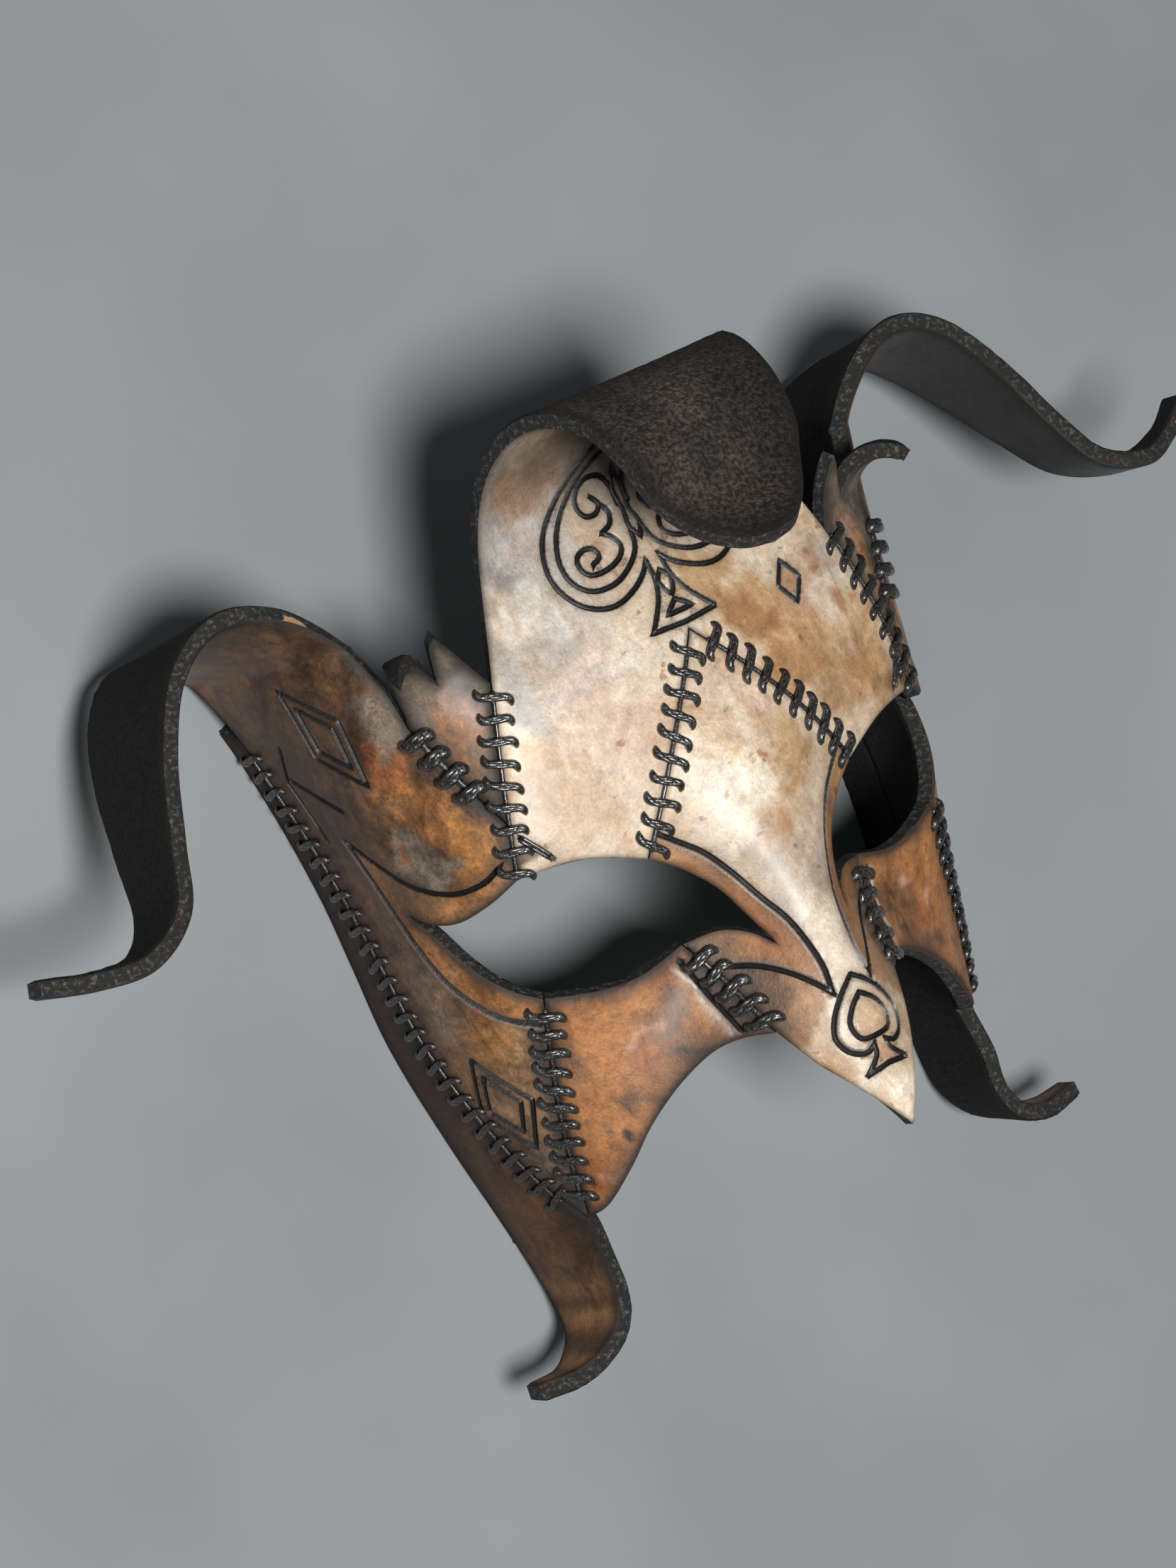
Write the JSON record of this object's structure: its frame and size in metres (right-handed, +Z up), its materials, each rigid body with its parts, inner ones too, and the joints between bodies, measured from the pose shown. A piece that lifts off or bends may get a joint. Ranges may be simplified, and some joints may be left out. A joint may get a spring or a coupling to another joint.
{
  "type": "jester half mask",
  "caption": "Tooled leather jester half mask with curled horns and tails and a rolled forehead point, laced together and lying face up.",
  "frame": {"origin": "centre of the underside of the mask's bounding box, on the surface it rests on", "axes": "+X to the viewer's right across the face with the mask seen from above, +Y from the chin side to the forehead, +Z up out of the face"},
  "size_m": [0.2754, 0.1712, 0.1005],
  "materials": {
    "bleached": "hand dyed, satin",
    "brown": "hand dyed, satin",
    "copper": "hand dyed, satin",
    "grey_brown": "hand dyed, worn",
    "dark": "hand dyed, satin",
    "thread": "waxed"
  },
  "bodies": {
    "root": {"forehead_panel": "bleached", "nose_panel": "bleached", "gusset_left": "grey_brown", "gusset_right": "grey_brown", "side_panel_left": "brown", "side_panel_right": "brown", "cheek_left": "copper", "cheek_right": "copper", "jaw_strip_left": "dark", "jaw_strip_right": "dark", "lacing_nose_top_left": "thread", "lacing_nose_top_right": "thread", "lacing_temple_left": "thread", "lacing_temple_right": "thread", "lacing_gusset_left": "thread", "lacing_gusset_right": "thread", "lacing_cheek_left": "thread", "lacing_cheek_right": "thread", "lacing_jaw_left": "thread", "lacing_jaw_right": "thread", "lacing_nose_low_left": "thread", "lacing_nose_low_right": "thread"}
  },
  "joints": []
}
